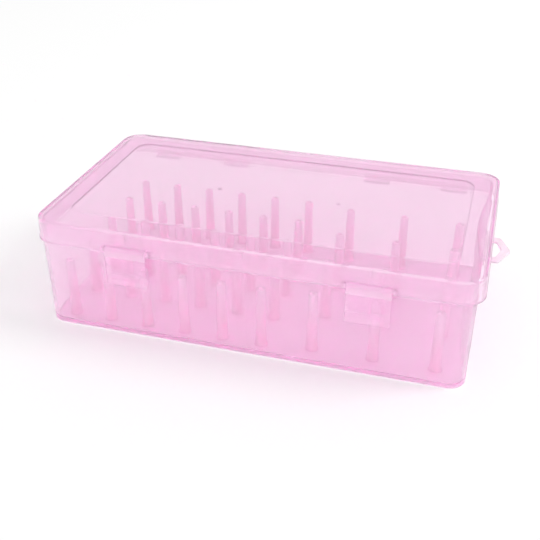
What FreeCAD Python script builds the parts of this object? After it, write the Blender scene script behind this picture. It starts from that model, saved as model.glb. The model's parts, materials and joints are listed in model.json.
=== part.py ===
import FreeCAD, Part
import Sketcher
import math
import os

# Spool box: a clear plastic tub with upright thread-spool pegs, a hinged lid with two
# swinging latches, and a hang loop folded out of a recess in the right-hand end.
# Frame: +X along the length, -Y is the latch side, +Z up. Origin: centre of the underside.

SHEET_ROWS = (
    # (alias, millimetres, what it is)
    ("tub_left", 121.8, "left end of the tub, from the origin"),
    ("tub_right", 119.7, "right end of the tub, from the origin"),
    ("tub_depth", 130.0, "tub, front to back, under the lid"),
    ("tub_draft", 0.5, "how much narrower the underside is, on each side"),
    ("tub_corner", 10.0, "tub corner radius, seen from above"),
    ("tub_wall", 1.6, "tub wall"),
    ("tub_floor", 2.0, "tub floor"),
    ("tub_foot_radius", 1.2, "rounding round the underside"),
    ("ledge_level", 54.0, "top of the full-size wall, where the rim steps in"),
    ("rim_step", 0.8, "how far the rim steps in"),
    ("rim_level", 65.0, "top of the rim"),
    ("recess_length", 100.0, "inward bow of the right-hand wall, front to back"),
    ("recess_depth", 3.6, "inward bow at its middle"),
    ("flange_right", 118.7, "outer edge of the flange over the bow"),
    ("flange_thick", 1.8, "flange thickness"),
    ("flange_reach", 4.9, "flange width at the middle of the bow"),
    ("lid_length", 245.0, "lid, measured at the top"),
    ("lid_depth", 132.9, "lid, front to back, measured at the top"),
    ("lid_flare", 0.7, "how much wider the skirt's lower edge is, on each side"),
    ("lid_corner", 11.5, "lid corner radius, seen from above"),
    ("lid_level", 67.9, "top of the lid"),
    ("lid_edge_radius", 1.1, "rounding round the top of the lid"),
    ("lid_top_thick", 1.5, "lid top plate"),
    ("lid_wall", 1.3, "lid skirt wall"),
    ("skirt_level", 54.9, "lower edge of the skirt"),
    ("bead_out", 0.25, "bead along the skirt's lower edge, outwards"),
    ("bead_tall", 1.3, "bead height"),
    ("panel_length", 217.0, "sunk panel in the lid's top"),
    ("panel_depth", 103.5, "sunk panel, front to back"),
    ("panel_corner", 9.0, "sunk panel corner radius"),
    ("panel_sink", 0.45, "depth of the sunk panel"),
    ("gate_spacing", 71.5, "distance between the two gate marks"),
    ("gate_radius", 1.3, "gate mark radius"),
    ("gate_tall", 0.4, "gate mark, above the sunk panel"),
    ("overlap", 0.45, "how far an added piece runs into the wall that carries it"),
    ("rib_wide", 1.2, "guide rib inside the front skirt, along X"),
    ("rib_out", 0.3, "guide rib, away from the skirt"),
    ("rib_level", 61.5, "lower end of a guide rib"),
    ("hinge_x", 71.5, "middle of each hinge, from the origin"),
    ("hinge_y", 69.5, "hinge axis"),
    ("hinge_z", 54.6, "hinge axis"),
    ("hinge_length", 65.0, "each hinge"),
    ("hinge_lid_length", 31.0, "lid knuckle in the middle of each hinge"),
    ("hinge_gap", 0.4, "end gap between knuckles"),
    ("knuckle_radius", 1.5, "knuckle, outside"),
    ("tub_web_tall", 1.6, "web from the tub to its knuckles"),
    ("tub_web_drop", 0.6, "top of that web, below the hinge axis"),
    ("lid_web_tall", 1.5, "web from the lid's skirt to its knuckle"),
    ("lid_web_rise", 0.4, "underside of that web, above the hinge axis"),
    ("hinge_pin_radius", 0.8, "hinge pin"),
    ("tub_pin_clearance", 0.05, "pin in the tub's knuckles"),
    ("turning_clearance", 0.08, "turning fits, on the radius"),
    ("latch_x", 66.5, "middle of each latch, from the origin"),
    ("latch_y", 67.4, "latch pivot, in front of the origin"),
    ("latch_z", 56.5, "latch pivot"),
    ("latch_width", 23.6, "latch"),
    ("latch_barrel", 2.0, "latch barrel, outside radius"),
    ("latch_plate", 1.2, "latch plate"),
    ("latch_grip_level", 41.0, "where the latch's finger lip starts"),
    ("latch_low", 36.6, "lower end of the latch"),
    ("latch_flare", 1.2, "finger lip, outwards"),
    ("latch_hook_out", 1.35, "hook, inwards from the plate"),
    ("latch_hook_low", 38.9, "hook, lower edge"),
    ("latch_hook_back", 0.4, "how far the hook's lower edge is set back"),
    ("latch_hook_rise", 0.6, "height of the slope along the hook's lower edge"),
    ("latch_hook_slope", 0.3, "slope of the hook's upper edge"),
    ("latch_hook_high", 40.6, "hook, upper edge"),
    ("latch_gap", 0.3, "side gap between latch and ear"),
    ("trunnion_radius", 1.0, "latch and loop trunnions"),
    ("trunnion_long", 1.5, "trunnions, beyond the barrel's end"),
    ("ear_wide", 2.0, "ear beside a latch"),
    ("ear_radius", 1.9, "ear beside a latch"),
    ("notch_level", 58.9, "top of the notch in the skirt at a latch"),
    ("notch_reach", 3.0, "notch cut, to either side of the skirt and below it"),
    ("catch_width", 20.0, "catch pad on the tub"),
    ("catch_low", 41.0, "lower edge of a catch pad"),
    ("catch_pad_y", 66.1, "face of a catch pad"),
    ("catch_ridge_y", 66.6, "face of the ridge along its lower edge"),
    ("catch_ridge_tall", 1.6, "ridge height"),
    ("loop_x", 118.5, "loop pivot"),
    ("loop_z", 51.4, "loop pivot"),
    ("loop_thick", 1.4, "loop plate"),
    ("loop_barrel", 1.4, "loop barrel, outside radius"),
    ("loop_width", 27.6, "loop, front to back"),
    ("loop_shoulder_x", 127.2, "where the loop starts to taper"),
    ("loop_tip_x", 132.8, "outer end of the loop"),
    ("loop_tip_width", 2.0, "flat at the loop's tip"),
    ("loop_corner", 1.6, "rounding of the loop's outer corners"),
    ("loop_hole_x", 122.2, "loop hole, inner edge"),
    ("loop_hole_width", 18.0, "loop hole, front to back"),
    ("loop_hole_shoulder_x", 125.2, "where the loop hole starts to taper"),
    ("loop_hole_tip_x", 127.9, "loop hole, outer end"),
    ("loop_hole_tip_width", 1.2, "flat at the hole's tip"),
    ("lug_wide", 2.4, "lug beside the loop"),
    ("lug_gap", 0.4, "side gap between loop and lug"),
    ("lug_left", 115.6, "inner face of a lug, inside the wall"),
    ("lug_right", 120.3, "outer face of a lug"),
    ("lug_tall", 4.4, "lug height"),
    ("peg_foot_radius", 3.1, "spool peg at the floor"),
    ("peg_top_radius", 2.5, "spool peg at the top"),
    ("peg_bore_foot_radius", 2.0, "spool peg bore at the floor"),
    ("peg_bore_top_radius", 1.6, "spool peg bore at the top"),
    ("peg_level", 38.4, "top of a spool peg"),
    ("small_first_x", -108.6, "first column of the close-set pegs"),
    ("small_pitch_x", 22.9, "between columns of the close-set pegs"),
    ("small_pitch_y", 27.0, "between rows of the close-set pegs"),
    ("wide_first_x", 34.3, "first column of the wide-set pegs"),
    ("wide_pitch_x", 34.2, "between columns of the wide-set pegs"),
    ("wide_pitch_y", 33.7, "between rows of the wide-set pegs"),
)

SMALL_ROWS, SMALL_COLUMNS = 5, 6
WIDE_ROWS, WIDE_COLUMNS = 4, 3
LEFT, RIGHT = -1, 1
START, END = 1, 2

doc = FreeCAD.newDocument("spool_box")
nodes = []


class Size:
    """A length in millimetres, together with the sheet expression that drives it."""

    def __init__(self, number, text=None):
        self.number = float(number)
        self.text = text or repr(float(number))

    def _with(self, other, sign, number):
        return Size(number, "(%s %s %s)" % (self.text, sign, other.text))

    def __add__(self, other):
        other = as_size(other)
        return self._with(other, "+", self.number + other.number)

    def __sub__(self, other):
        other = as_size(other)
        return self._with(other, "-", self.number - other.number)

    def __mul__(self, other):
        other = as_size(other)
        return self._with(other, "*", self.number * other.number)

    def __truediv__(self, other):
        other = as_size(other)
        return self._with(other, "/", self.number / other.number)

    def __neg__(self):
        return as_size(0) - self


def as_size(value):
    return value if isinstance(value, Size) else Size(value)


def fill_sheet():
    sheet = doc.addObject("Spreadsheet::Sheet", "Sizes")
    for row, (alias, number, meaning) in enumerate(SHEET_ROWS, start=1):
        sheet.set("A%d" % row, meaning)
        sheet.set("B%d" % row, str(number))
        sheet.setAlias("B%d" % row, alias)
    doc.recompute()
    return {alias: Size(number, "Sizes." + alias) for alias, number, _ in SHEET_ROWS}


S = fill_sheet()


def drive(thing, property_path, size):
    """Bind one property of an object to the sheet."""
    thing.setExpression(property_path, as_size(size).text)


def place(thing, x, y, z):
    for axis, size in (("x", x), ("y", y), ("z", z)):
        drive(thing, "Placement.Base." + axis, size)


def new_body(label):
    body = doc.addObject("PartDesign::Body", label)
    body.Label = label
    nodes.append(body)
    return body


def origin_plane(body, role):
    return next(item for item in body.Origin.OriginFeatures if item.Role == role)


def sketch_at(body, name, role="XY_Plane", level=0):
    """An empty sketch on one of the body's origin planes, raised by level."""
    sketch = body.newObject("Sketcher::SketchObject", name)
    sketch.AttachmentSupport = (origin_plane(body, role), [""])
    sketch.MapMode = "FlatFace"
    drive(sketch, "AttachmentOffset.Base.z", level)
    return sketch


def dimension(sketch, name, constraint, size):
    """Add one dimension and bind it to the sheet."""
    index = sketch.addConstraint(constraint)
    sketch.renameConstraint(index, name)
    drive(sketch, "Constraints." + name, size)


def hold(sketch, name, geometry, point, x=None, y=None):
    """Hold one point of the sketch's geometry at a signed place from the sketch's origin."""
    for axis, size in (("X", x), ("Y", y)):
        if size is not None:
            distance = Sketcher.Constraint("Distance" + axis, -1, 1, geometry, point, size.number)
            dimension(sketch, name + axis, distance, size)


def line(x0, y0, x1, y1):
    return Part.LineSegment(FreeCAD.Vector(x0, y0, 0), FreeCAD.Vector(x1, y1, 0))


def arc(x, y, radius, start_degrees, end_degrees):
    circle = Part.Circle(FreeCAD.Vector(x, y, 0), FreeCAD.Vector(0, 0, 1), radius)
    return Part.ArcOfCircle(circle, math.radians(start_degrees), math.radians(end_degrees))


def recess_radius():
    """Radius of the three equal arcs that make the inward bow."""
    half = S["recess_length"] / 2
    depth = S["recess_depth"]
    return (half * half + depth * depth) / (depth * 4)


def right_side(sketch, right, half_depth, corner, recessed):
    """Geometry of the right-hand side, front to back, as (index, entry point, exit point)."""
    x, y, r = right.number, half_depth.number, corner.number
    if not recessed:
        side = sketch.addGeometry(line(x, r - y, x, y - r))
        sketch.addConstraint(Sketcher.Constraint("Vertical", side))
        hold(sketch, "right", side, START, x=right)
        return [(side, START, END)]
    bow = recess_radius()
    half, depth = S["recess_length"] / 2, S["recess_depth"].number
    swing = math.degrees(math.asin(half.number / 2 / bow.number))
    front = sketch.addGeometry(line(x, r - y, x, -half.number))
    leaving = sketch.addGeometry(arc(x - bow.number, -half.number, bow.number, 0, swing))
    hollow = sketch.addGeometry(arc(x - depth + bow.number, 0, bow.number, 180 - swing, 180 + swing))
    returning = sketch.addGeometry(arc(x - bow.number, half.number, bow.number, -swing, 0))
    back = sketch.addGeometry(line(x, half.number, x, y - r))
    for side in (front, back):
        sketch.addConstraint(Sketcher.Constraint("Vertical", side))
    hold(sketch, "recess_front", front, END, x=right, y=-half)
    hold(sketch, "recess_back", back, START, x=right, y=half)
    for bend in (leaving, returning):
        sketch.addConstraint(Sketcher.Constraint("Equal", hollow, bend))
    dimension(sketch, "bow", Sketcher.Constraint("Radius", hollow, bow.number), bow)
    return [(front, START, END), (leaving, START, END), (hollow, END, START),
            (returning, START, END), (back, START, END)]


def outline(body, name, level, left, right, half_depth, corner, recessed=False):
    """A rounded rectangle, optionally with the inward bow in its right-hand side."""
    sketch = sketch_at(body, name, level=level)
    x0, x1, y, r = -left.number, right.number, half_depth.number, corner.number
    front = sketch.addGeometry(line(x0 + r, -y, x1 - r, -y))
    front_right = sketch.addGeometry(arc(x1 - r, r - y, r, -90, 0))
    chain = [(front, START, END), (front_right, START, END)]
    chain += right_side(sketch, right, half_depth, corner, recessed)
    back_right = sketch.addGeometry(arc(x1 - r, y - r, r, 0, 90))
    back = sketch.addGeometry(line(x1 - r, y, x0 + r, y))
    back_left = sketch.addGeometry(arc(x0 + r, y - r, r, 90, 180))
    left_side = sketch.addGeometry(line(x0, y - r, x0, r - y))
    front_left = sketch.addGeometry(arc(x0 + r, r - y, r, 180, 270))
    chain += [(index, START, END) for index in (back_right, back, back_left, left_side, front_left)]
    for (index, _, leave), (following, enter, _) in zip(chain, chain[1:] + chain[:1]):
        sketch.addConstraint(Sketcher.Constraint("Tangent", index, leave, following, enter))
    for side in (front, back):
        sketch.addConstraint(Sketcher.Constraint("Horizontal", side))
    sketch.addConstraint(Sketcher.Constraint("Vertical", left_side))
    for bend in (back_right, back_left, front_left):
        sketch.addConstraint(Sketcher.Constraint("Equal", front_right, bend))
    dimension(sketch, "corner", Sketcher.Constraint("Radius", front_right, r), corner)
    hold(sketch, "front", front, START, y=-half_depth)
    hold(sketch, "back", back, START, y=half_depth)
    hold(sketch, "left", left_side, START, x=-left)
    return sketch


def polygon(sketch, points):
    """A closed outline of straight lines, each corner held to the sheet."""
    corners = [(as_size(x), as_size(y)) for x, y in points]
    first = None
    previous = None
    for number, (x, y) in enumerate(corners):
        x_next, y_next = corners[(number + 1) % len(corners)]
        edge = sketch.addGeometry(line(x.number, y.number, x_next.number, y_next.number))
        hold(sketch, "corner%d" % number, edge, START, x=x, y=y)
        if previous is not None:
            sketch.addConstraint(Sketcher.Constraint("Coincident", previous, END, edge, START))
        first = edge if first is None else first
        previous = edge
    sketch.addConstraint(Sketcher.Constraint("Coincident", previous, END, first, START))
    return sketch


def pad(body, name, sketch, length):
    feature = body.newObject("PartDesign::Pad", name)
    feature.Profile = sketch
    drive(feature, "Length", length)
    return feature


def pocket(body, name, sketch, length):
    """Cut downwards from the sketch, away from its normal."""
    feature = body.newObject("PartDesign::Pocket", name)
    feature.Profile = sketch
    drive(feature, "Length", length)
    return feature


def hollow_between(body, name, lower, upper):
    """Cut the space between two outlines of the same form."""
    feature = body.newObject("PartDesign::SubtractiveLoft", name)
    feature.Profile = lower
    feature.Sections = [upper]
    feature.Ruled = True
    return feature


def lean(outward, height):
    """Angle of a wall that leans outward by that much over that height."""
    slope = outward / height
    return Size(math.degrees(math.atan(slope.number)), "atan(%s)" % slope.text)


def drafted_pad(body, name, sketch, height, outward):
    """Pad a sketch and lean its walls outward, from nothing at the sketch to outward at the top."""
    straight = pad(body, name, sketch, height)
    doc.recompute()
    sides, foot = [], None
    for number, face in enumerate(straight.Shape.Faces, start=1):
        box = face.BoundBox
        if box.ZMax - box.ZMin > height.number / 2:
            sides.append("Face%d" % number)
        elif foot is None or box.ZMin < straight.Shape.Faces[foot - 1].BoundBox.ZMin:
            foot = number
    leaning = body.newObject("PartDesign::Draft", name + "_draft")
    leaning.Base = (straight, sides)
    leaning.NeutralPlane = (straight, ["Face%d" % foot])
    drive(leaning, "Angle", lean(-outward, height))
    return leaning


def block(body, name, low, high, cut=False):
    """A box between two corners."""
    kind = "PartDesign::SubtractiveBox" if cut else "PartDesign::AdditiveBox"
    feature = body.newObject(kind, name)
    low = [as_size(size) for size in low]
    high = [as_size(size) for size in high]
    for side, start, stop in zip(("Length", "Width", "Height"), low, high):
        drive(feature, side, stop - start)
    place(feature, *low)
    return feature


def rod(body, name, start, length, radius, along="X", cut=False):
    """A cylinder from its start point towards +X or +Y."""
    kind = "PartDesign::SubtractiveCylinder" if cut else "PartDesign::AdditiveCylinder"
    feature = body.newObject(kind, name)
    turns = {"X": FreeCAD.Rotation(FreeCAD.Vector(0, 1, 0), 90),
             "Y": FreeCAD.Rotation(FreeCAD.Vector(1, 0, 0), -90)}
    feature.Placement = FreeCAD.Placement(FreeCAD.Vector(), turns[along])
    drive(feature, "Radius", radius)
    drive(feature, "Height", length)
    place(feature, *(as_size(size) for size in start))
    return feature


def fillet(body, name, radius, wanted):
    """Round every edge of the body so far whose bounding box passes the test."""
    doc.recompute()
    base = body.Tip
    edges = [edge for edge in enumerate(base.Shape.Edges, start=1) if wanted(edge[1].BoundBox)]
    feature = body.newObject("PartDesign::Fillet", name)
    feature.Base = (base, ["Edge%d" % number for number, _ in edges])
    drive(feature, "Radius", radius)
    return feature


def at_level(level):
    """Test for edges that lie flat at one height."""
    near = 0.01
    return lambda box: abs(box.ZMin - level.number) < near and abs(box.ZMax - level.number) < near


def tub_shell(body):
    half, draft, wall, step = S["tub_depth"] / 2, S["tub_draft"], S["tub_wall"], S["rim_step"]
    left, right, corner = S["tub_left"], S["tub_right"], S["tub_corner"]

    def section(name, level, inset):
        return outline(body, name, level, left - inset, right - inset, half - inset,
                       corner - inset, recessed=True)

    drafted_pad(body, "wall_outside", section("underside", 0, draft), S["ledge_level"], draft)
    fillet(body, "foot_rounding", S["tub_foot_radius"], at_level(as_size(0)))
    pad(body, "rim", section("rim_outside", S["ledge_level"], step), S["rim_level"] - S["ledge_level"])
    block(body, "end_flange",
          (S["flange_right"] - S["flange_reach"], -S["recess_length"] / 2, S["rim_level"] - S["flange_thick"]),
          (S["flange_right"], S["recess_length"] / 2, S["rim_level"]))
    add_tub_fittings(body)
    jog = S["ledge_level"] - wall
    hollow_between(body, "cavity", section("floor", S["tub_floor"], draft + wall),
                   section("cavity_top", jog, wall))
    rim_cut = section("rim_inside", S["rim_level"], step + wall)
    pocket(body, "rim_cavity", rim_cut, S["rim_level"] - jog)


def add_tub_fittings(body):
    for side in (LEFT, RIGHT):
        name = "left" if side == LEFT else "right"
        add_catch(body, name, S["latch_x"] * side)
        add_tub_knuckles(body, name, S["hinge_x"] * side)
        add_loop_lug(body, "front" if side == LEFT else "back", side)


def add_catch(body, name, x):
    """The pad that a latch closes over, with a ridge along its lower edge."""
    half = S["catch_width"] / 2
    inside = S["tub_wall"] * 2 - S["tub_depth"] / 2
    block(body, "catch_pad_" + name, (x - half, -S["catch_pad_y"], S["catch_low"]),
          (x + half, inside, S["ledge_level"]))
    block(body, "catch_ridge_" + name, (x - half, -S["catch_ridge_y"], S["catch_low"]),
          (x + half, inside, S["catch_low"] + S["catch_ridge_tall"]))


def add_tub_knuckles(body, name, x):
    """Two tub knuckles with their web, one at each end of a hinge."""
    half = S["hinge_length"] / 2
    inner = S["hinge_lid_length"] / 2 + S["hinge_gap"]
    for place_name, start in (("a", x - half), ("b", x + inner)):
        stop = start + half - inner
        web_top = S["hinge_z"] - S["tub_web_drop"]
        block(body, "knuckle_web_" + name + place_name,
              (start, S["tub_depth"] / 2 - S["tub_wall"], web_top - S["tub_web_tall"]),
              (stop, S["hinge_y"], web_top))
        rod(body, "knuckle_" + name + place_name, (start, S["hinge_y"], S["hinge_z"]),
            stop - start, S["knuckle_radius"])
    rod(body, "pin_bore_" + name, (x - half, S["hinge_y"], S["hinge_z"]), half * 2,
        S["hinge_pin_radius"] + S["tub_pin_clearance"], cut=True)


def add_loop_lug(body, name, side):
    """One of the two lugs in the recess, with the blind hole for the loop's trunnion."""
    near = S["loop_width"] / 2 + S["lug_gap"]
    far = near + S["lug_wide"]
    low, high = (near, far) if side == RIGHT else (-far, -near)
    below = S["loop_z"] - S["lug_tall"] / 2
    block(body, "loop_lug_" + name, (S["lug_left"], low, below),
          (S["lug_right"], high, below + S["lug_tall"]))
    reach = S["trunnion_long"] + S["turning_clearance"]
    hole_start = near if side == RIGHT else -near - reach
    rod(body, "trunnion_hole_" + name, (S["loop_x"], hole_start, S["loop_z"]), reach,
        S["trunnion_radius"] + S["turning_clearance"], along="Y", cut=True)


def make_tub():
    body = new_body("base_tub")
    tub_shell(body)


def lid_section(body, name, level, inset, flare):
    half_length = S["lid_length"] / 2 - inset + flare
    half_depth = S["lid_depth"] / 2 - inset + flare
    return outline(body, name, level, half_length, half_length, half_depth,
                   S["lid_corner"] - inset + flare)


def make_lid():
    body = new_body("lid")
    none, flare, wall = as_size(0), S["lid_flare"], S["lid_wall"]
    skirt = S["skirt_level"]
    drafted_pad(body, "cap", lid_section(body, "skirt_edge", skirt, none, flare),
                S["lid_level"] - skirt, -flare)
    fillet(body, "top_rounding", S["lid_edge_radius"], at_level(S["lid_level"]))
    pad(body, "bead", lid_section(body, "bead_edge", skirt, none, flare + S["bead_out"]),
        S["bead_tall"])
    under_top = S["lid_level"] - S["lid_top_thick"]
    hollow_between(body, "hollow", lid_section(body, "hollow_mouth", skirt, wall, flare),
                   lid_section(body, "hollow_top", under_top, wall, none))
    panel = outline(body, "panel_edge", S["lid_level"], S["panel_length"] / 2,
                    S["panel_length"] / 2, S["panel_depth"] / 2, S["panel_corner"])
    pocket(body, "sunk_panel", panel, S["panel_sink"])
    for side in (LEFT, RIGHT):
        name = "left" if side == LEFT else "right"
        add_gate_mark(body, name, side)
        add_latch_ears(body, name, S["latch_x"] * side)
        add_lid_knuckle(body, name, S["hinge_x"] * side)
    for name, x in (("left", -S["latch_x"]), ("middle", none), ("right", S["latch_x"])):
        add_guide_rib(body, name, x, under_top)


def add_gate_mark(body, name, side):
    """Small round moulding mark standing in the sunk panel."""
    mark = body.newObject("PartDesign::AdditiveCylinder", "gate_mark_" + name)
    drive(mark, "Radius", S["gate_radius"])
    drive(mark, "Height", S["gate_tall"] + S["overlap"])
    panel_level = S["lid_level"] - S["panel_sink"]
    place(mark, S["gate_spacing"] / 2 * side, as_size(0), panel_level - S["overlap"])


def add_guide_rib(body, name, x, top):
    """Short upright rib inside the front skirt that centres the lid on the rim."""
    face = S["lid_wall"] - S["lid_depth"] / 2
    block(body, "guide_rib_" + name, (x - S["rib_wide"] / 2, face - S["overlap"], S["rib_level"]),
          (x + S["rib_wide"] / 2, face + S["rib_out"], top))


def add_latch_ears(body, name, x):
    """The notch in the skirt and the two ears that carry one latch."""
    half = S["latch_width"] / 2 + S["latch_gap"]
    front = -S["lid_depth"] / 2
    around = S["notch_reach"]
    block(body, "latch_notch_" + name, (x - half, front - around, S["skirt_level"] - around),
          (x + half, front + around, S["notch_level"]), cut=True)
    ear, pivot_y = S["ear_wide"], -S["latch_y"]
    reach = S["trunnion_long"] - S["latch_gap"] + S["turning_clearance"]
    hole = S["trunnion_radius"] + S["turning_clearance"]
    for place_name, start in (("a", x - half - ear), ("b", x + half)):
        rod(body, "ear_" + name + place_name, (start, pivot_y, S["latch_z"]), ear, S["ear_radius"])
    for place_name, start in (("a", x - half - reach), ("b", x + half)):
        rod(body, "ear_hole_" + name + place_name, (start, pivot_y, S["latch_z"]), reach, hole,
            cut=True)


def add_lid_knuckle(body, name, x):
    """The lid's middle knuckle of one hinge, with its web up to the skirt."""
    half = S["hinge_lid_length"] / 2
    skirt_face = S["lid_depth"] / 2
    underside = S["hinge_z"] + S["lid_web_rise"]
    block(body, "lid_web_" + name, (x - half, skirt_face - S["overlap"], underside),
          (x + half, S["hinge_y"], underside + S["lid_web_tall"]))
    rod(body, "lid_knuckle_" + name, (x - half, S["hinge_y"], S["hinge_z"]), half * 2,
        S["knuckle_radius"])
    rod(body, "lid_pin_bore_" + name, (x - half, S["hinge_y"], S["hinge_z"]), half * 2,
        S["hinge_pin_radius"] + S["turning_clearance"], cut=True)


def make_latch(name, side):
    """Plate with a barrel along its top, a hook inside and a flared finger lip below."""
    body = new_body("latch_" + name)
    half = S["latch_width"] / 2
    axis_y, axis_z = -S["latch_y"], S["latch_z"]
    outer = axis_y - S["latch_barrel"]
    inner = outer + S["latch_plate"]
    hook_tip = inner + S["latch_hook_out"]
    profile = sketch_at(body, "plate_profile", role="YZ_Plane", level=-half)
    polygon(profile, (
        (outer, axis_z),
        (outer, S["latch_grip_level"]),
        (outer - S["latch_flare"], S["latch_low"]),
        (inner - S["latch_flare"], S["latch_low"]),
        (inner, S["latch_hook_low"]),
        (hook_tip - S["latch_hook_back"], S["latch_hook_low"]),
        (hook_tip, S["latch_hook_low"] + S["latch_hook_rise"]),
        (hook_tip, S["latch_hook_high"]),
        (inner, S["latch_hook_high"] + S["latch_hook_slope"]),
        (inner, axis_z),
    ))
    pad(body, "plate", profile, S["latch_width"])
    rod(body, "barrel", (-half, axis_y, axis_z), S["latch_width"], S["latch_barrel"])
    rod(body, "trunnions", (-half - S["trunnion_long"], axis_y, axis_z),
        S["latch_width"] + S["trunnion_long"] * 2, S["trunnion_radius"])
    drive(body, "Placement.Base.x", S["latch_x"] * side)


def make_hang_loop():
    """Flat ring on a barrel, tapering to a blunt tip."""
    body = new_body("hang_loop")
    half = S["loop_width"] / 2
    tip = S["loop_tip_width"] / 2
    below = S["loop_z"] - S["loop_thick"] / 2
    plate = polygon(sketch_at(body, "ring_outside", level=below), (
        (S["loop_x"], -half),
        (S["loop_shoulder_x"], -half),
        (S["loop_tip_x"], -tip),
        (S["loop_tip_x"], tip),
        (S["loop_shoulder_x"], half),
        (S["loop_x"], half),
    ))
    pad(body, "ring", plate, S["loop_thick"])
    fillet(body, "ring_rounding", S["loop_corner"], upright_beyond(S["loop_shoulder_x"]))
    hole_half = S["loop_hole_width"] / 2
    hole_tip = S["loop_hole_tip_width"] / 2
    hole = polygon(sketch_at(body, "ring_inside", level=below + S["loop_thick"]), (
        (S["loop_hole_x"], -hole_half),
        (S["loop_hole_shoulder_x"], -hole_half),
        (S["loop_hole_tip_x"], -hole_tip),
        (S["loop_hole_tip_x"], hole_tip),
        (S["loop_hole_shoulder_x"], hole_half),
        (S["loop_hole_x"], hole_half),
    ))
    pocket(body, "ring_hole", hole, S["loop_thick"])
    rod(body, "barrel", (S["loop_x"], -half, S["loop_z"]), S["loop_width"], S["loop_barrel"],
        along="Y")
    rod(body, "trunnions", (S["loop_x"], -half - S["trunnion_long"], S["loop_z"]),
        S["loop_width"] + S["trunnion_long"] * 2, S["trunnion_radius"], along="Y")


def upright_beyond(x):
    """Test for upright edges at or beyond one place along X."""
    near = 0.01
    return lambda box: box.ZMax - box.ZMin > near and box.XMin > x.number - near


def make_hinge_pin(name, side):
    pin = doc.addObject("Part::Cylinder", "hinge_pin_" + name)
    pin.Label = "hinge_pin_" + name
    pin.Placement = FreeCAD.Placement(FreeCAD.Vector(), FreeCAD.Rotation(FreeCAD.Vector(0, 1, 0), 90))
    drive(pin, "Radius", S["hinge_pin_radius"])
    drive(pin, "Height", S["hinge_length"])
    place(pin, S["hinge_x"] * side - S["hinge_length"] / 2, S["hinge_y"], S["hinge_z"])
    nodes.append(pin)


def make_peg(label, x, y):
    """A tapered tube standing on the floor of the tub."""
    outside = doc.addObject("Part::Cone", label + "_outside")
    bore = doc.addObject("Part::Cone", label + "_bore")
    for cone, foot, top in ((outside, "peg_foot_radius", "peg_top_radius"),
                            (bore, "peg_bore_foot_radius", "peg_bore_top_radius")):
        drive(cone, "Radius1", S[foot])
        drive(cone, "Radius2", S[top])
        drive(cone, "Height", S["peg_level"] - S["tub_floor"])
    peg = doc.addObject("Part::Cut", label)
    peg.Label = label
    peg.Base = outside
    peg.Tool = bore
    place(peg, x, y, S["tub_floor"])
    nodes.append(peg)


def make_peg_field(group, rows, columns, first_x, pitch_x, pitch_y):
    """Rows run front to back and are centred on the box; columns run left to right."""
    for row in range(rows):
        y = pitch_y * (row - (rows - 1) / 2)
        for column in range(columns):
            label = "peg_%s_row%d_col%d" % (group, row + 1, column + 1)
            make_peg(label, first_x + pitch_x * column, y)


def check_document():
    doc.recompute()
    for thing in doc.Objects:
        if "Invalid" in thing.State or "Error" in thing.State:
            raise RuntimeError("failed object: %s %s" % (thing.Label, thing.State))
    for node in nodes:
        if node.Shape.isNull() or not node.Shape.isValid():
            raise RuntimeError("bad shape: " + node.Label)


def write_parts():
    os.makedirs("parts", exist_ok=True)
    for node in nodes:
        node.Shape.exportStep("parts/%s.step" % node.Label)


make_tub()
make_lid()
for latch_name, latch_side in (("left", LEFT), ("right", RIGHT)):
    make_latch(latch_name, latch_side)
    make_hinge_pin(latch_name, latch_side)
make_hang_loop()
make_peg_field("small", SMALL_ROWS, SMALL_COLUMNS, S["small_first_x"], S["small_pitch_x"],
               S["small_pitch_y"])
make_peg_field("wide", WIDE_ROWS, WIDE_COLUMNS, S["wide_first_x"], S["wide_pitch_x"],
               S["wide_pitch_y"])
check_document()
write_parts()
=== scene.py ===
import json
import math

import bmesh
import bpy
from mathutils import Matrix, Vector


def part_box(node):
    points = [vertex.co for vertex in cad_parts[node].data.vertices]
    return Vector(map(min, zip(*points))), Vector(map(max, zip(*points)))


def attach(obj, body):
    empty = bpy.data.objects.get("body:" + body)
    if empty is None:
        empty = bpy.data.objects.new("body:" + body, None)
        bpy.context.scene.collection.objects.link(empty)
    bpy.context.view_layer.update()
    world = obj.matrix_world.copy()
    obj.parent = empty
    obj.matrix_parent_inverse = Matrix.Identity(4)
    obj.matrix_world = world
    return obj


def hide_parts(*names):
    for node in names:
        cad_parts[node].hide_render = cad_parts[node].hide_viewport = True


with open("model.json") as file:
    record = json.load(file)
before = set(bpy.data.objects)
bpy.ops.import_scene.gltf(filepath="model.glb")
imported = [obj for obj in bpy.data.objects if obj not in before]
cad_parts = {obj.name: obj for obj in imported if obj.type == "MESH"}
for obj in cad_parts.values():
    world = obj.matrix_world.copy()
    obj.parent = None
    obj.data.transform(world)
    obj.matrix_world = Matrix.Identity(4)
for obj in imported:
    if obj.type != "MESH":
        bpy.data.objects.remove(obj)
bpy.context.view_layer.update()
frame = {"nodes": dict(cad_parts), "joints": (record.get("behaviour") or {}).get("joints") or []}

MM = 0.001
LEFT, RIGHT = -1, 1

# ---------------------------------------------------------------- sizes, in millimetres
# Lid: outline, top level, plate and skirt thickness, outward lean of the skirt, top edge.
LID_LENGTH, LID_DEPTH, LID_CORNER = 245.0, 132.9, 11.5
LID_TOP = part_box("lid")[1].z / MM
LID_THICK, LID_WALL, LID_FLARE, LID_EDGE = 1.5, 1.3, 0.7, 0.85
# Lower edge of the skirt, and the bead along it.
SKIRT_LOW = 54.9
BEAD_OUT, BEAD_TALL = 0.25, 1.3
# Sunk panel in the lid's top, with a shallow groove inside its step.
PANEL_LENGTH, PANEL_DEPTH, PANEL_CORNER = 217.0, 103.5, 9.0
PANEL_SINK, PANEL_STEP, GROOVE = 0.4, 0.5, 0.15

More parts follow.
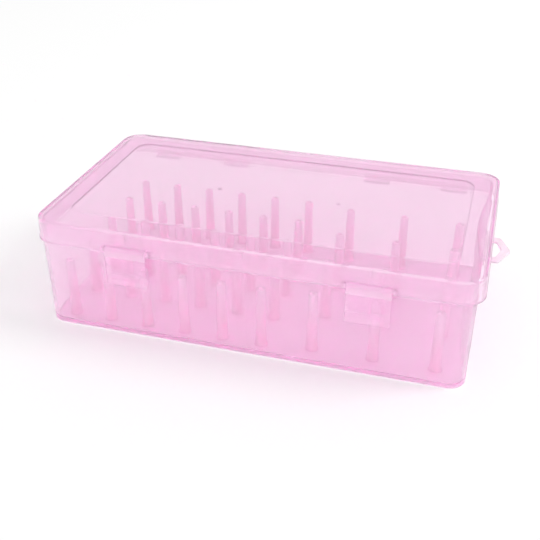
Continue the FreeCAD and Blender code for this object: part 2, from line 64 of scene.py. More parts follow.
# Tub: its two ends and its depth at the ledge, walls, floor, lean of the walls, foot.
TUB_LEFT, TUB_RIGHT, TUB_DEPTH, TUB_CORNER = 121.8, 119.7, 130.0, 10.0
TUB_WALL, TUB_FLOOR, TUB_DRAFT, TUB_FOOT = 1.6, 2.0, 0.5, 1.2
FLOOR_ROUND = 2.0
# The wall steps in at the ledge, so that the rim goes inside the lid.
LEDGE, RIM_STEP = 54.0, 0.8
RIM_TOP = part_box("base_tub")[1].z / MM
# Inward bow of the right-hand wall, and the straighter flange above it.
RECESS_HALF, RECESS_DEPTH = 50.0, 3.6
FLANGE_THICK, FLANGE_BOW = 1.8, 0.3

# How far a face stays flat next to a rounding, and how far an added piece runs into its wall.
HOLD, OVERLAP = 0.6, 0.9

JOINTS = {joint["name"]: joint for joint in frame["joints"]}


def joint_point(name):
    """A point on a joint's axis, in millimetres."""
    return Vector(JOINTS[name]["pos_m"]) / MM


# ---------------------------------------------------------------- mesh helpers
CORNER_STEPS = 12
BOW_STEPS = 28
SMOOTH_ANGLE = math.radians(38)


def quarter(centre_x, centre_y, radius, start):
    """Points of a quarter circle, anticlockwise from a start angle in degrees."""
    turns = [math.radians(start + 90 * step / CORNER_STEPS) for step in range(CORNER_STEPS + 1)]
    return [(centre_x + radius * math.cos(turn), centre_y + radius * math.sin(turn))
            for turn in turns]


def bowed_side(right, half_span, bow):
    """The right-hand side, front to back, drawn in by bow at its middle."""
    points = []
    for step in range(BOW_STEPS + 1):
        along = 2 * step / BOW_STEPS - 1
        points.append((right - bow * 0.5 * (1 + math.cos(math.pi * along)), half_span * along))
    return points


def outline(left, right, half_depth, corner, bow=0.0):
    """A rounded rectangle, anticlockwise, always with the same number of points."""
    points = quarter(right - corner, corner - half_depth, corner, -90)
    points += bowed_side(right, min(RECESS_HALF, half_depth - corner - 0.5), bow)
    points += quarter(right - corner, half_depth - corner, corner, 0)
    points += quarter(corner - left, half_depth - corner, corner, 90)
    points += quarter(corner - left, corner - half_depth, corner, 180)
    return points


def object_from(name, builder):
    """Turn a bmesh into an object in the scene."""
    mesh = bpy.data.meshes.new(name)
    builder.to_mesh(mesh)
    builder.free()
    piece = bpy.data.objects.new(name, mesh)
    bpy.context.scene.collection.objects.link(piece)
    return piece


def loft(name, rings, ends="capped"):
    """Skin a list of rings, each a list of points in millimetres. ends is capped or joined."""
    builder = bmesh.new()
    loops = [[builder.verts.new(Vector(point) * MM) for point in ring] for ring in rings]
    pairs = list(zip(loops, loops[1:]))
    if ends == "joined":
        pairs.append((loops[-1], loops[0]))
    for lower, upper in pairs:
        count = len(lower)
        for index in range(count):
            following = (index + 1) % count
            builder.faces.new((lower[index], lower[following], upper[following], upper[index]))
    if ends == "capped":
        builder.faces.new(list(reversed(loops[0])))
        builder.faces.new(loops[-1])
    bmesh.ops.recalc_face_normals(builder, faces=builder.faces)
    return object_from(name, builder)


def rounded_box(name, low, high, radius):
    """A block between two corners, with all its edges rounded."""
    builder = bmesh.new()
    bmesh.ops.create_cube(builder, size=1.0)
    low, high = Vector(low), Vector(high)
    for vert in builder.verts:
        share = vert.co + Vector((0.5, 0.5, 0.5))
        vert.co = Vector([low[axis] + (high[axis] - low[axis]) * share[axis]
                          for axis in range(3)]) * MM
    bmesh.ops.bevel(builder, geom=builder.edges[:], offset=radius * MM, segments=3,
                    affect="EDGES", profile=0.5)
    return object_from(name, builder)


AXIS_TURN = {"X": Matrix.Rotation(math.pi / 2, 4, "Y"),
             "Y": Matrix.Rotation(-math.pi / 2, 4, "X"),
             "Z": Matrix.Identity(4)}


def turned(name, profile, centre, along="Z", steps=32):
    """Revolve (radius, height) points, in millimetres, about an axis through centre."""
    rings = []
    for radius, height in profile:
        ring = []
        for step in range(steps):
            turn = 2 * math.pi * step / steps
            point = Vector((radius * math.cos(turn), radius * math.sin(turn), height))
            ring.append(AXIS_TURN[along] @ point + Vector(centre))
        rings.append(ring)
    return loft(name, rings)


def rod(name, start, length, radius, along="X", steps=32):
    """A round bar from start, with softened ends."""
    soft, softer = 0.25, 0.075
    profile = [(radius - soft, 0), (radius - softer, softer), (radius, soft),
               (radius, length - soft), (radius - softer, length - softer),
               (radius - soft, length)]
    return turned(name, profile, start, along, steps)


def bore(start, length, radius, along="X"):
    """A plain bar from start, for cutting a round hole."""
    return turned("bore", [(radius, 0), (radius, length)], start, along)


def combine(piece, tools, operation):
    """Apply one exact boolean per tool, then delete the tools."""
    for tool in tools:
        step = piece.modifiers.new(tool.name, "BOOLEAN")
        step.operation = operation
        step.solver = "EXACT"
        step.object = tool
    bpy.context.view_layer.update()
    evaluated = piece.evaluated_get(bpy.context.evaluated_depsgraph_get())
    mesh = bpy.data.meshes.new_from_object(evaluated)
    piece.modifiers.clear()
    piece.data = mesh
    for tool in tools:
        bpy.data.objects.remove(tool)
    return piece


def finish_piece(piece, body, material, node):
    """Smooth the round faces, dress the piece, tie it to its CAD body and hide its CAD node."""
    for polygon in piece.data.polygons:
        polygon.use_smooth = True
    piece.data.set_sharp_from_angle(angle=SMOOTH_ANGLE)
    weighted = piece.modifiers.new("weighted_normals", "WEIGHTED_NORMAL")
    weighted.keep_sharp = True
    piece.data.materials.clear()
    piece.data.materials.append(material)
    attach(piece, body)
    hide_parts(node)


# ---------------------------------------------------------------- materials
# Share of red, green and blue that a great thickness of the plastic lets through.
PINK_LEFT = (1.0, 0.2, 0.84, 1.0)
# Size of the flow marks, the frost and the waviness: a larger number is finer.
FLOW_SCALE, FROST_SCALE, WAVE_SCALE = 14.0, 260.0, 60.0
# Where the flow noise is wholly deep and wholly pale.
FLOW_DEEP, FLOW_PALE = 0.3, 0.7
# How much the frost varies the roughness, and the waves' strength and height in metres.
FROST_LOW, FROST_HIGH = 0.8, 1.2
WAVE_STRENGTH, WAVE_HEIGHT = 0.2, 0.0002
# Where a colour mix node keeps its two colours and its result.
MIX_FIRST, MIX_SECOND, MIX_RESULT = 6, 7, 2


def add_node(tree, kind, **inputs):
    """A node with some of its inputs set."""
    node = tree.nodes.new(kind)
    for name, value in inputs.items():
        node.inputs[name].default_value = value
    return node


def map_range(tree, source, given, wanted):
    """The output of a node that carries one range of values over to another."""
    node = tree.nodes.new("ShaderNodeMapRange")
    node.inputs["From Min"].default_value, node.inputs["From Max"].default_value = given
    node.inputs["To Min"].default_value, node.inputs["To Max"].default_value = wanted
    tree.links.new(source, node.inputs["Value"])
    return node.outputs["Result"]


def plastic(name, pale, deep, roughness, transmission, depth_of_pink,
            bend=1.3, matt=None, foot=None):
    """Moulded translucent plastic: flow-marked colour, a faint frost and a slight waviness.

    depth_of_pink is the strength of the tint inside and bend is the index of refraction.
    matt is (heights, added roughness, transmission) and foot is (heights, colour), a painted
    shade that darkens the colour near the floor: each is full at the first height and gone at the
    second.
    """
    material = bpy.data.materials.new(name)
    material.use_nodes = True
    tree = material.node_tree
    shader = tree.nodes["Principled BSDF"]
    shader.distribution = "MULTI_GGX"
    shader.inputs["IOR"].default_value = bend
    shader.inputs["Transmission Weight"].default_value = transmission
    tint = add_node(tree, "ShaderNodeVolumeAbsorption", Density=depth_of_pink, Color=PINK_LEFT)
    tree.links.new(tint.outputs["Volume"], tree.nodes["Material Output"].inputs["Volume"])
    place = tree.nodes.new("ShaderNodeTexCoord").outputs["Object"]

    flow = add_node(tree, "ShaderNodeTexNoise", Scale=FLOW_SCALE, Detail=3.0)
    frost = add_node(tree, "ShaderNodeTexNoise", Scale=FROST_SCALE, Detail=2.0)
    wave = add_node(tree, "ShaderNodeTexNoise", Scale=WAVE_SCALE, Detail=1.0)
    for texture in (flow, frost, wave):
        tree.links.new(place, texture.inputs["Vector"])
    ramp = tree.nodes.new("ShaderNodeValToRGB")
    for element, position, shade in zip(ramp.color_ramp.elements, (FLOW_DEEP, FLOW_PALE),
                                        (deep, pale)):
        element.position = position
        element.color = (*shade, 1)
    tree.links.new(flow.outputs["Fac"], ramp.inputs["Fac"])
    colour = ramp.outputs["Color"]
    spread = map_range(tree, frost.outputs["Fac"], (0, 1),
                       (roughness * FROST_LOW, roughness * FROST_HIGH))
    bump = add_node(tree, "ShaderNodeBump", Strength=WAVE_STRENGTH, Distance=WAVE_HEIGHT)
    tree.links.new(wave.outputs["Fac"], bump.inputs["Height"])
    tree.links.new(bump.outputs["Normal"], shader.inputs["Normal"])

    split = tree.nodes.new("ShaderNodeSeparateXYZ")
    tree.links.new(place, split.inputs["Vector"])
    height = split.outputs["Z"]
    # Painted shade: the colour darkens towards the foot, where shade falls near the floor.
    if foot:
        heights, painted_shade_colour = foot
        painted_shade_mix = tree.nodes.new("ShaderNodeMix")
        painted_shade_mix.data_type = "RGBA"
        tree.links.new(map_range(tree, height, heights, (1, 0)), painted_shade_mix.inputs["Factor"])
        tree.links.new(colour, painted_shade_mix.inputs[MIX_FIRST])
        painted_shade_mix.inputs[MIX_SECOND].default_value = (*painted_shade_colour, 1)
        colour = painted_shade_mix.outputs[MIX_RESULT]
    if matt:
        heights, added_roughness, matt_transmission = matt
        added = map_range(tree, height, heights, (added_roughness, 0))
        total = tree.nodes.new("ShaderNodeMath")
        tree.links.new(spread, total.inputs[0])
        tree.links.new(added, total.inputs[1])
        spread = total.outputs["Value"]
        clear = map_range(tree, height, heights, (matt_transmission, transmission))
        tree.links.new(clear, shader.inputs["Transmission Weight"])
    tree.links.new(colour, shader.inputs["Base Color"])
    tree.links.new(spread, shader.inputs["Roughness"])
    return material


def between(low, high):
    """Two heights in metres, from millimetres."""
    return low * MM, high * MM


# Duller finishes: the tub's underside, the foot of a peg, the lid's skirt, a latch's barrel.
MATT_UNDERSIDE = (between(0.6, 1.6), 0.5, 0.0)
MATT_PEG = (between(3, 30), 0.05, 0.45)
MATT_SKIRT = (between(LID_TOP - 3.4, LID_TOP - 2.0), 0.15, 0.765)
MATT_LATCH = (between(53.4, 52.4), 0.1, 0.68)
# Painted shade on the pegs: their colour gets darker towards the floor, from 36 mm down to 3 mm.
PEG_FOOT_PAINTED_SHADE = (between(3, 36), (1.0, 0.72, 0.90))

TUB_PLASTIC = plastic("tub_plastic", (1.0, 0.961, 0.99), (1.0, 0.949, 0.986),
                      0.16, 0.78, 44, matt=MATT_UNDERSIDE)
LID_PLASTIC = plastic("lid_plastic", (1.0, 0.935, 0.978), (1.0, 0.92, 0.972),
                      0.03, 0.77, 58, matt=MATT_SKIRT)
PEG_PLASTIC = plastic("peg_plastic", (1.0, 0.95, 0.987), (1.0, 0.935, 0.982),
                      0.12, 0.54, 80, bend=1.2, matt=MATT_PEG, foot=PEG_FOOT_PAINTED_SHADE)
LATCH_PLASTIC = plastic("latch_plastic", (1.0, 0.935, 0.978), (1.0, 0.92, 0.973),
                        0.14, 0.84, 45, bend=1.15, matt=MATT_LATCH)
LOOP_PLASTIC = plastic("loop_plastic", (1.0, 0.945, 0.978), (1.0, 0.935, 0.973),
                       0.2, 0.35, 40)


# ---------------------------------------------------------------- tub
def tub_ring(inset, level, bow=RECESS_DEPTH):
    """Ring of the tub's wall: inset from the leaning outer face, at one level."""
    lean = TUB_DRAFT * (1 - min(level, LEDGE) / LEDGE)
    inset += lean
    points = outline(TUB_LEFT - inset, TUB_RIGHT - inset, TUB_DEPTH / 2 - inset,
                     TUB_CORNER - inset, bow)
    return [(x, y, level) for x, y in points]


def arc_steps(steps=6):
    """Sine and 1 - cosine of a quarter turn, from 0 to 90 degrees."""
    turns = [math.pi / 2 * step / steps for step in range(steps + 1)]
    return [(math.sin(turn), 1 - math.cos(turn)) for turn in turns]


def tub_shell():
    """The tub's wall and floor, as rings from the middle of the underside round to the inside."""
    soft = 0.4
    inner, rim_in = TUB_WALL, RIM_STEP + TUB_WALL
    flange_low = RIM_TOP - FLANGE_THICK
    inner_ledge = LEDGE - TUB_WALL
    rings = [tub_ring(TUB_FOOT + HOLD, 0)]
    rings += [tub_ring(TUB_FOOT * (1 - sine), TUB_FOOT * rise) for sine, rise in arc_steps()]
    rings += [tub_ring(0, TUB_FOOT + HOLD), tub_ring(0, LEDGE / 2), tub_ring(0, LEDGE - 0.7)]
    rings += [tub_ring(soft * rise, LEDGE - soft * (1 - sine)) for sine, rise in arc_steps(3)]
    rings += [tub_ring(RIM_STEP - 0.1, LEDGE), tub_ring(RIM_STEP, LEDGE + 0.1)]
    rings += [tub_ring(RIM_STEP, flange_low - 0.15)]
    rings += [tub_ring(RIM_STEP, flange_low, FLANGE_BOW + 0.15)]
    rings += [tub_ring(RIM_STEP, flange_low + 0.15, FLANGE_BOW)]
    rings += [tub_ring(RIM_STEP + soft * rise, RIM_TOP - soft * (1 - sine), FLANGE_BOW)
              for sine, rise in arc_steps(3)]
    rings += [tub_ring(rim_in - soft * (1 - sine), RIM_TOP - soft * rise)
              for sine, rise in arc_steps(3)]
    rings += [tub_ring(rim_in, inner_ledge + HOLD), tub_ring(inner + 0.1, inner_ledge - 0.1)]
    rings += [tub_ring(inner, inner_ledge - 0.5), tub_ring(inner, LEDGE / 2)]
    rings += [tub_ring(inner, TUB_FLOOR + FLOOR_ROUND + 0.5)]
    rings += [tub_ring(inner + FLOOR_ROUND * rise, TUB_FLOOR + FLOOR_ROUND * (1 - sine))
              for sine, rise in arc_steps()]
    rings += [tub_ring(inner + FLOOR_ROUND + HOLD, TUB_FLOOR)]
    return loft("tub_shell", rings)


# Catch pads and their ridges; the lugs that carry the loop.
CATCH_HALF, CATCH_LOW, CATCH_PAD_Y = 10.0, 41.0, 66.1
CATCH_RIDGE_Y, CATCH_RIDGE_TALL = 66.6, 1.6
LUG_NEAR, LUG_FAR, LUG_RIGHT, LUG_TALL, LUG_BORE = 14.2, 16.6, 120.3, 4.4, 1.6
TRUNNION, TRUNNION_HOLE = 1.0, 1.08
# Rear hinges: knuckles, the webs that carry them, and the pin's bore in each part.
HINGE = joint_point("lid_hinge")
KNUCKLE, HINGE_LENGTH, LID_KNUCKLE, HINGE_GAP = 1.49, 65.0, 31.0, 0.4
TUB_WEB_DROP, TUB_WEB_TALL, LID_WEB_RISE, LID_WEB_TALL = 0.6, 1.6, 0.4, 1.5
TUB_PIN_BORE, LID_PIN_BORE, PAST_END = 0.85, 0.88, 1.0
HINGE_CENTRES = [sum(corner.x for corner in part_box("hinge_pin_" + side)) / 2 / MM
                 for side in ("left", "right")]
LATCH_CENTRES = [joint_point(side + "_latch_hinge").x for side in ("left", "right")]
LATCH_PIVOT = joint_point("left_latch_hinge")
LOOP_PIVOT = joint_point("loop_hinge")


def catch_blocks():
    """Pads that the latches close over, and the ridges along their lower edges."""
    inside = -TUB_DEPTH / 2 + OVERLAP
    pads, ridges = [], []
    for x in LATCH_CENTRES:
        pads.append(rounded_box("catch_pad", (x - CATCH_HALF, -CATCH_PAD_Y, CATCH_LOW + 0.2),
                                (x + CATCH_HALF, inside, LEDGE - 0.1), 0.35))
        half, ridge_top = CATCH_HALF - 0.1, CATCH_LOW + CATCH_RIDGE_TALL
        ridges.append(rounded_box("catch_ridge", (x - half, -CATCH_RIDGE_Y, CATCH_LOW),
                                  (x + half, inside - 0.1, ridge_top), 0.45))
    return pads + ridges


def tub_knuckles():
    """The tub's outer knuckles with their webs, and the bores for the pins."""
    webs, barrels, bores = [], [], []
    half, inner = HINGE_LENGTH / 2, LID_KNUCKLE / 2 + HINGE_GAP
    web_top = HINGE.z - TUB_WEB_DROP
    for x in HINGE_CENTRES:
        for start in (x - half, x + inner):
            stop = start + half - inner
            webs.append(rounded_box(
                "web", (start + 0.1, TUB_DEPTH / 2 - OVERLAP, web_top - TUB_WEB_TALL),
                (stop - 0.1, HINGE.y, web_top), 0.3))
            barrels.append(rod("barrel", (start, HINGE.y, HINGE.z), stop - start, KNUCKLE,
                               steps=40))
        bores.append(bore((x - half - PAST_END, HINGE.y, HINGE.z),
                          HINGE_LENGTH + 2 * PAST_END, TUB_PIN_BORE))
    return webs + barrels, bores


def loop_lugs():
    """The two lugs in the recess, and the hole through them for the loop's trunnions."""
    lugs = []
    root = TUB_RIGHT - RECESS_DEPTH - 0.4
    for side in (LEFT, RIGHT):
        low, high = sorted((LUG_NEAR * side, LUG_FAR * side))
        lugs.append(rounded_box("lug", (root, low, LOOP_PIVOT.z - LUG_TALL / 2),
                                (LUG_RIGHT, high, LOOP_PIVOT.z + LUG_TALL / 2), 0.5))
    half = LUG_NEAR + LUG_BORE
    hole = bore((LOOP_PIVOT.x, -half, LOOP_PIVOT.z), 2 * half, TRUNNION_HOLE, along="Y")
    return lugs, [hole]


def make_tub():
    tub = tub_shell()
    knuckles, bores = tub_knuckles()
    lugs, holes = loop_lugs()
    combine(tub, catch_blocks() + knuckles + lugs, "UNION")
    combine(tub, bores + holes, "DIFFERENCE")
    finish_piece(tub, "tub", TUB_PLASTIC, "base_tub")


# ---------------------------------------------------------------- lid
def lid_ring(inset, level):
    """Ring of the lid's outer face, moved in by inset, at one level."""
    inset -= LID_FLARE * (LID_TOP - level) / (LID_TOP - SKIRT_LOW)
    half = LID_LENGTH / 2 - inset
    points = outline(half, half, LID_DEPTH / 2 - inset, LID_CORNER - inset)
    return [(x, y, level) for x, y in points]


def panel_ring(inset, level):
    """Ring round the sunk panel, moved in by inset, at one level."""
    half = PANEL_LENGTH / 2 - inset
    points = outline(half, half, PANEL_DEPTH / 2 - inset, PANEL_CORNER - inset)
    return [(x, y, level) for x, y in points]


def lid_shell():
    """The lid as rings from the middle of the panel, over the skirt and in again underneath."""
    soft = 0.35
    inner_round = 1.2
    under, panel = LID_TOP - LID_THICK, LID_TOP - PANEL_SINK
    bead_top = SKIRT_LOW + BEAD_TALL
    rings = [panel_ring(PANEL_STEP + 2.4, panel), panel_ring(PANEL_STEP + 1.4, panel)]
    rings += [panel_ring(PANEL_STEP + 1.2, panel - GROOVE * 0.2)]
    rings += [panel_ring(PANEL_STEP + 0.8, panel - GROOVE), panel_ring(PANEL_STEP, panel - GROOVE)]
    rings += [panel_ring(PANEL_STEP * 0.7, LID_TOP - PANEL_SINK * 0.85)]
    rings += [panel_ring(PANEL_STEP * 0.3, LID_TOP - PANEL_SINK * 0.15), panel_ring(0, LID_TOP)]
    rings += [panel_ring(-HOLD, LID_TOP), lid_ring(LID_EDGE + 0.5, LID_TOP)]
    rings += [lid_ring(LID_EDGE * (1 - sine), LID_TOP - LID_EDGE * rise)
              for sine, rise in arc_steps()]
    rings += [lid_ring(0, LID_TOP - LID_EDGE - 0.5), lid_ring(0, bead_top + 0.5)]
    rings += [lid_ring(-0.05, bead_top + 0.1), lid_ring(-BEAD_OUT + 0.1, bead_top - 0.1)]
    rings += [lid_ring(-BEAD_OUT, bead_top - 0.35)]
    rings += [lid_ring(-BEAD_OUT + soft * rise, SKIRT_LOW + soft * (1 - sine))
              for sine, rise in arc_steps(3)]
    rings += [lid_ring(LID_WALL - soft * (1 - sine), SKIRT_LOW + soft * rise)
              for sine, rise in arc_steps(3)]
    rings += [lid_ring(LID_WALL, SKIRT_LOW + 1.0), lid_ring(LID_WALL, under - inner_round - 0.4)]
    rings += [lid_ring(LID_WALL + inner_round * rise, under - inner_round * (1 - sine))
              for sine, rise in arc_steps(4)]
    rings += [lid_ring(LID_WALL + inner_round + 0.5, under)]
    return loft("lid_shell", rings)


# Notch for each latch with an ear on both sides; ribs inside the front; marks left by moulding.
LATCH_HALF, LATCH_GAP, NOTCH_TOP = 11.8, 0.3, 58.9
EAR_WIDE, EAR_RADIUS, EAR_BORE = 2.0, 1.9, 1.3
RIB_HALF, RIB_OUT, RIB_LOW = 0.6, 0.3, 61.5
GATE_SPACING, GATE_RADIUS, GATE_TALL = 71.5, 1.3, 0.4


def latch_notches():
    """What the skirt loses and gains where a latch hangs: notches, ears and their holes."""
    cuts, ears, holes = [], [], []
    half = LATCH_HALF + LATCH_GAP
    reach = half + EAR_BORE
    front = -LID_DEPTH / 2
    for x in LATCH_CENTRES:
        cuts.append(rounded_box("notch", (x - half, front - 3, SKIRT_LOW - 2),
                                (x + half, front + 3, NOTCH_TOP), 0.4))
        for start in (x - half - EAR_WIDE, x + half):
            ears.append(rod("ear", (start, LATCH_PIVOT.y, LATCH_PIVOT.z), EAR_WIDE, EAR_RADIUS))
        holes.append(bore((x - reach, LATCH_PIVOT.y, LATCH_PIVOT.z), 2 * reach, TRUNNION_HOLE))
    return cuts, ears, holes


def lid_knuckles():
    """The lid's middle knuckles with their webs, and the bores for the pins."""
    webs, barrels, bores = [], [], []
    half = LID_KNUCKLE / 2
    web_low = HINGE.z + LID_WEB_RISE
    for x in HINGE_CENTRES:
        webs.append(rounded_box("web", (x - half + 0.1, LID_DEPTH / 2 - 0.2, web_low),
                                (x + half - 0.1, HINGE.y, web_low + LID_WEB_TALL), 0.35))
        barrels.append(rod("barrel", (x - half, HINGE.y, HINGE.z), LID_KNUCKLE, KNUCKLE,
                           steps=40))
        bores.append(bore((x - half - PAST_END, HINGE.y, HINGE.z),
                          LID_KNUCKLE + 2 * PAST_END, LID_PIN_BORE))
    return webs + barrels, bores


def guide_ribs():
    """Upright ribs inside the front of the skirt."""
    face = -LID_DEPTH / 2 + LID_WALL
    return [rounded_box("rib", (x - RIB_HALF, face - 0.6, RIB_LOW),
                        (x + RIB_HALF, face + RIB_OUT, LID_TOP - 1.2), 0.25)
            for x in (LATCH_CENTRES[0], 0, LATCH_CENTRES[1])]


def gate_marks():
    """Two small raised rings on the panel."""
    level = LID_TOP - PANEL_SINK
    profile = [(GATE_RADIUS, -0.3), (GATE_RADIUS, GATE_TALL * 0.8),
               (GATE_RADIUS * 0.85, GATE_TALL), (GATE_RADIUS * 0.65, GATE_TALL * 0.9),
               (GATE_RADIUS * 0.5, GATE_TALL * 0.2)]
    return [turned("gate", profile, (GATE_SPACING / 2 * side, 0, level), steps=24)
            for side in (LEFT, RIGHT)]


def make_lid():
    lid = lid_shell()
    cuts, ears, holes = latch_notches()
    knuckles, bores = lid_knuckles()
    combine(lid, cuts, "DIFFERENCE")
    combine(lid, ears + knuckles + guide_ribs() + gate_marks(), "UNION")
    combine(lid, holes + bores, "DIFFERENCE")
    finish_piece(lid, "lid", LID_PLASTIC, "lid")


# ---------------------------------------------------------------- latches
# Barrel at the top, plate, grip that flares out at the bottom, and the hook behind.
BARREL, BARREL_STEPS, PLATE, PLATE_TOP = 2.0, 22, 1.2, 52.0
GRIP_LEVEL, LATCH_LOW, LATCH_FLARE = 41.0, 36.6, 1.2
HOOK_OUT, HOOK_LOW, HOOK_HIGH = 1.35, 38.9, 40.6


def latch_profile():
    """Outline of the latch seen from the end, as (y, z), from the barrel down and back up."""
    axis_y, axis_z = LATCH_PIVOT.y, LATCH_PIVOT.z
    outer, inner = axis_y - BARREL, axis_y - BARREL + PLATE
    meet = math.degrees(math.acos((inner - axis_y) / BARREL))
    points = []
    for step in range(BARREL_STEPS + 1):
        turn = math.radians(180 - (180 + meet) * step / BARREL_STEPS)
        points.append((axis_y + BARREL * math.cos(turn), axis_z + BARREL * math.sin(turn)))
    points += [(inner, PLATE_TOP), (inner, HOOK_HIGH + 1.0), (inner + 0.25, HOOK_HIGH + 0.35)]
    points += [(inner + HOOK_OUT - 0.35, HOOK_HIGH), (inner + HOOK_OUT - 0.1, HOOK_HIGH - 0.1)]
    points += [(inner + HOOK_OUT, HOOK_HIGH - 0.4), (inner + HOOK_OUT * 0.8, HOOK_LOW + 0.3)]
    points += [(inner + HOOK_OUT * 0.4, HOOK_LOW), (inner + 0.1, HOOK_LOW - 0.1)]
    flare_top = HOOK_LOW - 0.3
    for share in (0.25, 0.5, 0.75, 0.92):
        level = flare_top - (flare_top - LATCH_LOW) * share
        points.append((inner - LATCH_FLARE * share ** 1.6, level))
    points += [(inner - LATCH_FLARE - 0.3, LATCH_LOW), (outer - LATCH_FLARE + 0.3, LATCH_LOW)]
    points += [(outer - LATCH_FLARE, LATCH_LOW + 0.35)]
    for share in (0.75, 0.5, 0.25, 0.0):
        level = LATCH_LOW + (GRIP_LEVEL - LATCH_LOW) * (1 - share)
        points.append((outer - LATCH_FLARE * share ** 1.8, level))
    points += [(outer, 46.0), (outer, PLATE_TOP)]
    return points


def shrink(points, inset):
    """Move every point of a closed outline inwards along its corner's bisector."""
    if not inset:
        return points
    area = sum(a[0] * b[1] - b[0] * a[1] for a, b in zip(points, points[1:] + points[:1]))
    hand = 1 if area > 0 else -1
    moved = []
    for index, point in enumerate(points):
        point = Vector(point)
        before, after = Vector(points[index - 1]), Vector(points[(index + 1) % len(points)])
        along = (point - before).normalized() + (after - point).normalized()
        along.normalize()
        moved.append(tuple(point + Vector((-along.y, along.x)) * hand * inset))
    return moved


def make_latch(side_name, x):
    """The latch's end outline drawn along X, with softened ends, and the pin it turns on."""
    profile = latch_profile()
    soft, softer = 0.3, 0.09
    stations = [(-LATCH_HALF, soft), (-LATCH_HALF + softer, softer), (-LATCH_HALF + soft, 0)]
    stations += [(LATCH_HALF - soft, 0), (LATCH_HALF - softer, softer), (LATCH_HALF, soft)]
    rings = [[(x + station, y, z) for y, z in shrink(profile, inset)]
             for station, inset in stations]
    latch = loft(side_name + "_latch_plate", rings)
    reach = LATCH_HALF + 1.2
    pin = rod("trunnion", (x - reach, LATCH_PIVOT.y, LATCH_PIVOT.z), 2 * reach, TRUNNION)
    combine(latch, [pin], "UNION")
    finish_piece(latch, side_name + "_latch", LATCH_PLASTIC, "latch_" + side_name)


# ---------------------------------------------------------------- hang loop
LOOP_HALF, LOOP_THICK, LOOP_BARREL, LOOP_SOFT = 13.8, 1.4, 1.4, 0.35
LOOP_SHOULDER, LOOP_TIP, LOOP_TIP_HALF = 127.2, 132.79, 1.0
HOLE_ROOT, HOLE_SHOULDER, HOLE_TIP = 122.2, 125.2, 127.9
HOLE_HALF, HOLE_TIP_HALF = 9.0, 0.6
# How far from each corner its rounding starts: root, shoulder, tip.
LOOP_ROUNDS, HOLE_ROUNDS = (1.1, 1.8, 0.9), (0.8, 1.2, 0.5)


def softened(corners, radii, steps=5):
    """Round each corner of a polygon with a short curve that starts radius away from it."""
    points = []
    for index, corner in enumerate(corners):
        corner = Vector(corner)
        before, after = Vector(corners[index - 1]), Vector(corners[(index + 1) % len(corners)])
        start = corner + (before - corner).normalized() * radii[index]
        stop = corner + (after - corner).normalized() * radii[index]
        for step in range(steps + 1):
            share = step / steps
            bend = start.lerp(corner, share).lerp(corner.lerp(stop, share), share)
            points.append(tuple(bend))
    return points


def pointed_outline(root, shoulder, tip, half, tip_half, rounds):
    """Straight sides, then a blunt point towards +X, as (x, y)."""
    corners = [(root, -half), (shoulder, -half), (tip, -tip_half),
               (tip, tip_half), (shoulder, half), (root, half)]
    return softened(corners, [*rounds, *reversed(rounds)])


def make_hang_loop():
    """A flat ring with a blunt point, a barrel along its root, and the pin it turns on."""
    outside = pointed_outline(LOOP_PIVOT.x, LOOP_SHOULDER, LOOP_TIP, LOOP_HALF, LOOP_TIP_HALF,
                              LOOP_ROUNDS)
    inside = pointed_outline(HOLE_ROOT, HOLE_SHOULDER, HOLE_TIP, HOLE_HALF, HOLE_TIP_HALF,
                             HOLE_ROUNDS)
    low, high = LOOP_PIVOT.z - LOOP_THICK / 2, LOOP_PIVOT.z + LOOP_THICK / 2

    def edge(points, level, upwards, inwards):
        """Quarter-round edge, from where it is upright to where it is flat."""
        return [[(x, y, level + upwards * LOOP_SOFT * (1 - sine))
                 for x, y in shrink(points, inwards * LOOP_SOFT * rise)]
                for sine, rise in arc_steps(4)]

    rings = edge(outside, low, 1, 1)[::-1] + edge(outside, high, -1, 1)
    rings += edge(inside, high, -1, -1)[::-1] + edge(inside, low, 1, -1)
    loop = loft("hang_loop_ring", rings, "joined")
    barrel = rod("barrel", (LOOP_PIVOT.x, -LOOP_HALF, LOOP_PIVOT.z), 2 * LOOP_HALF, LOOP_BARREL,
                 along="Y")
    reach = LOOP_HALF + 1.3
    pin = rod("trunnion", (LOOP_PIVOT.x, -reach, LOOP_PIVOT.z), 2 * reach, TRUNNION, along="Y")
    combine(loop, [barrel, pin], "UNION")
    finish_piece(loop, "loop", LOOP_PLASTIC, "hang_loop")


# ---------------------------------------------------------------- pegs and pins
# Radii of the peg and of its bore, at the foot and at the top; where the bore starts.
PEG_FOOT, PEG_TOP, BORE_FOOT, BORE_TOP, BORE_LOW = 3.1, 2.5, 2.0, 1.6, 1.2
# Thin flare round the foot, a hair above the floor, and the softened lip.
PEG_FLARE, PEG_LIFT, LIP, LIP_BEVEL = 4.0, 0.02, 0.12, 0.036


def peg_mesh(height):
    """Tapered tube, closed at the foot, with a softened lip. Heights are from the floor."""
    profile = [(PEG_FLARE, PEG_LIFT), (PEG_FLARE - 0.05, 0.15), (PEG_FLARE - 0.4, 0.3),
               (PEG_FOOT + 0.2, 0.4), (PEG_FOOT, 0.6), (PEG_TOP + 0.02, height - 1.0),
               (PEG_TOP, height - LIP), (PEG_TOP - LIP_BEVEL, height - LIP_BEVEL),
               (PEG_TOP - LIP, height), (BORE_TOP + LIP, height),
               (BORE_TOP + LIP_BEVEL, height - LIP_BEVEL), (BORE_TOP, height - LIP),
               (BORE_TOP, height - 1.0), (BORE_FOOT, BORE_LOW + 0.5),
               (BORE_FOOT - 0.4, BORE_LOW)]
    piece = turned("peg", profile, (0, 0, 0), steps=28)
    mesh = piece.data
    bpy.data.objects.remove(piece)
    return mesh


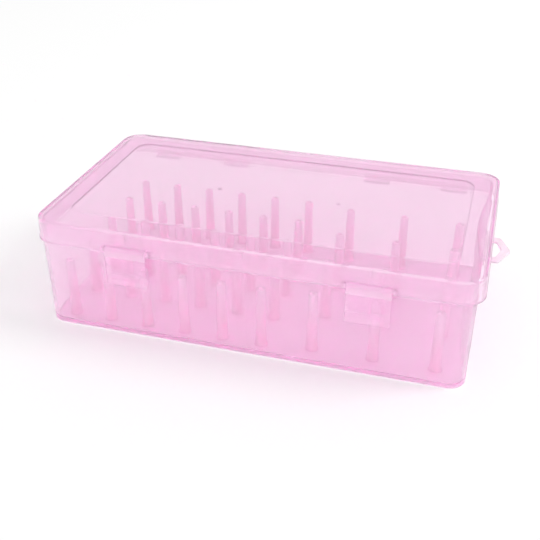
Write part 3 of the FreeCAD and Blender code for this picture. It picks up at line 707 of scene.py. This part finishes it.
def make_pegs():
    """One peg mesh, shared by all the pegs, each standing where its CAD node stands."""
    names = sorted(name for name in frame["nodes"] if name.startswith("peg_"))
    low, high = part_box(names[0])
    mesh = peg_mesh((high.z - low.z) / MM)
    for name in names:
        low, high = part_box(name)
        piece = bpy.data.objects.new("spool_" + name, mesh)
        bpy.context.scene.collection.objects.link(piece)
        piece.location = ((low.x + high.x) / 2, (low.y + high.y) / 2, low.z)
        finish_piece(piece, "tub", PEG_PLASTIC, name)


def dress_pins():
    """The hinge pins keep their CAD meshes and get the latches' plastic."""
    for side in ("left", "right"):
        pin = frame["nodes"]["hinge_pin_" + side]
        for slot in pin.material_slots:
            slot.material = LATCH_PLASTIC


# ---------------------------------------------------------------- stage
# All in metres: the floor's half size and how far it lies below the tub.
FLOOR_HALF, FLOOR_DROP = 4.0, 0.00005
ROOM_LIGHT = 0.855
CAMERA_PLACE, CAMERA_AIM = (0.1172, -0.41968, 0.27936), (0.00127, -0.02091, 0.030)
CAMERA_LENS = 55.57


def make_floor():
    """Plain white paper."""
    builder = bmesh.new()
    bmesh.ops.create_grid(builder, x_segments=1, y_segments=1, size=FLOOR_HALF)
    floor = object_from("floor", builder)
    material = bpy.data.materials.new("floor_paper")
    material.use_nodes = True
    shader = material.node_tree.nodes["Principled BSDF"]
    shader.inputs["Base Color"].default_value = (1.0, 1.0, 1.0, 1)
    shader.inputs["Roughness"].default_value = 0.9
    shader.inputs["Specular IOR Level"].default_value = 0.0
    floor.data.materials.append(material)
    floor.location.z = -FLOOR_DROP


def turned_to(place, aim):
    """The rotation of a lamp or camera at place that looks at aim."""
    return (Vector(aim) - Vector(place)).to_track_quat("-Z", "Y").to_euler()


def add_area(name, place, aim, size, power):
    """A rectangular lamp in metres and watts, pointed at aim."""
    light = bpy.data.lights.new(name, "AREA")
    light.shape = "RECTANGLE"
    light.size, light.size_y = size
    light.energy = power
    lamp = bpy.data.objects.new(name, light)
    bpy.context.scene.collection.objects.link(lamp)
    lamp.location = place
    lamp.rotation_euler = turned_to(place, aim)


def light_scene():
    """An even white room, one soft lamp high on the right, and a low wide one in front."""
    world = bpy.data.worlds.new("white_room")
    bpy.context.scene.world = world
    world.use_nodes = True
    background = world.node_tree.nodes["Background"]
    background.inputs["Color"].default_value = (1, 1, 1, 1)
    background.inputs["Strength"].default_value = ROOM_LIGHT
    add_area("key", (2.20, 0.55, 2.05), (0, 0, 0), (1.1, 1.1), 24)
    add_area("front_fill", (-1.10, -2.25, 0.24), (0, 0, 0.03), (2.2, 0.45), 10.5)


def add_camera():
    """High to the front, a little to the right, with a moderate lens."""
    camera = bpy.data.cameras.new("camera")
    camera.sensor_width = 36.0
    camera.lens = CAMERA_LENS
    camera.dof.use_dof = False
    holder = bpy.data.objects.new("camera", camera)
    bpy.context.scene.collection.objects.link(holder)
    holder.location = CAMERA_PLACE
    holder.rotation_euler = turned_to(CAMERA_PLACE, CAMERA_AIM)
    bpy.context.scene.camera = holder


def set_look():
    """Plain colours, and enough light bounces for many layers of clear plastic."""
    scene = bpy.context.scene
    scene.view_settings.view_transform = "Standard"
    scene.view_settings.look = "None"
    scene.cycles.blur_glossy = 0.0
    scene.cycles.max_bounces = 64
    scene.cycles.transmission_bounces = 64
    scene.cycles.transparent_max_bounces = 32
    scene.cycles.glossy_bounces = 16
    scene.cycles.diffuse_bounces = 16
    scene.cycles.use_denoising = True


make_tub()
make_lid()
for latch_name, latch_x in zip(("left", "right"), LATCH_CENTRES):
    make_latch(latch_name, latch_x)
make_hang_loop()
make_pegs()
dress_pins()
make_floor()
light_scene()
add_camera()
set_look()
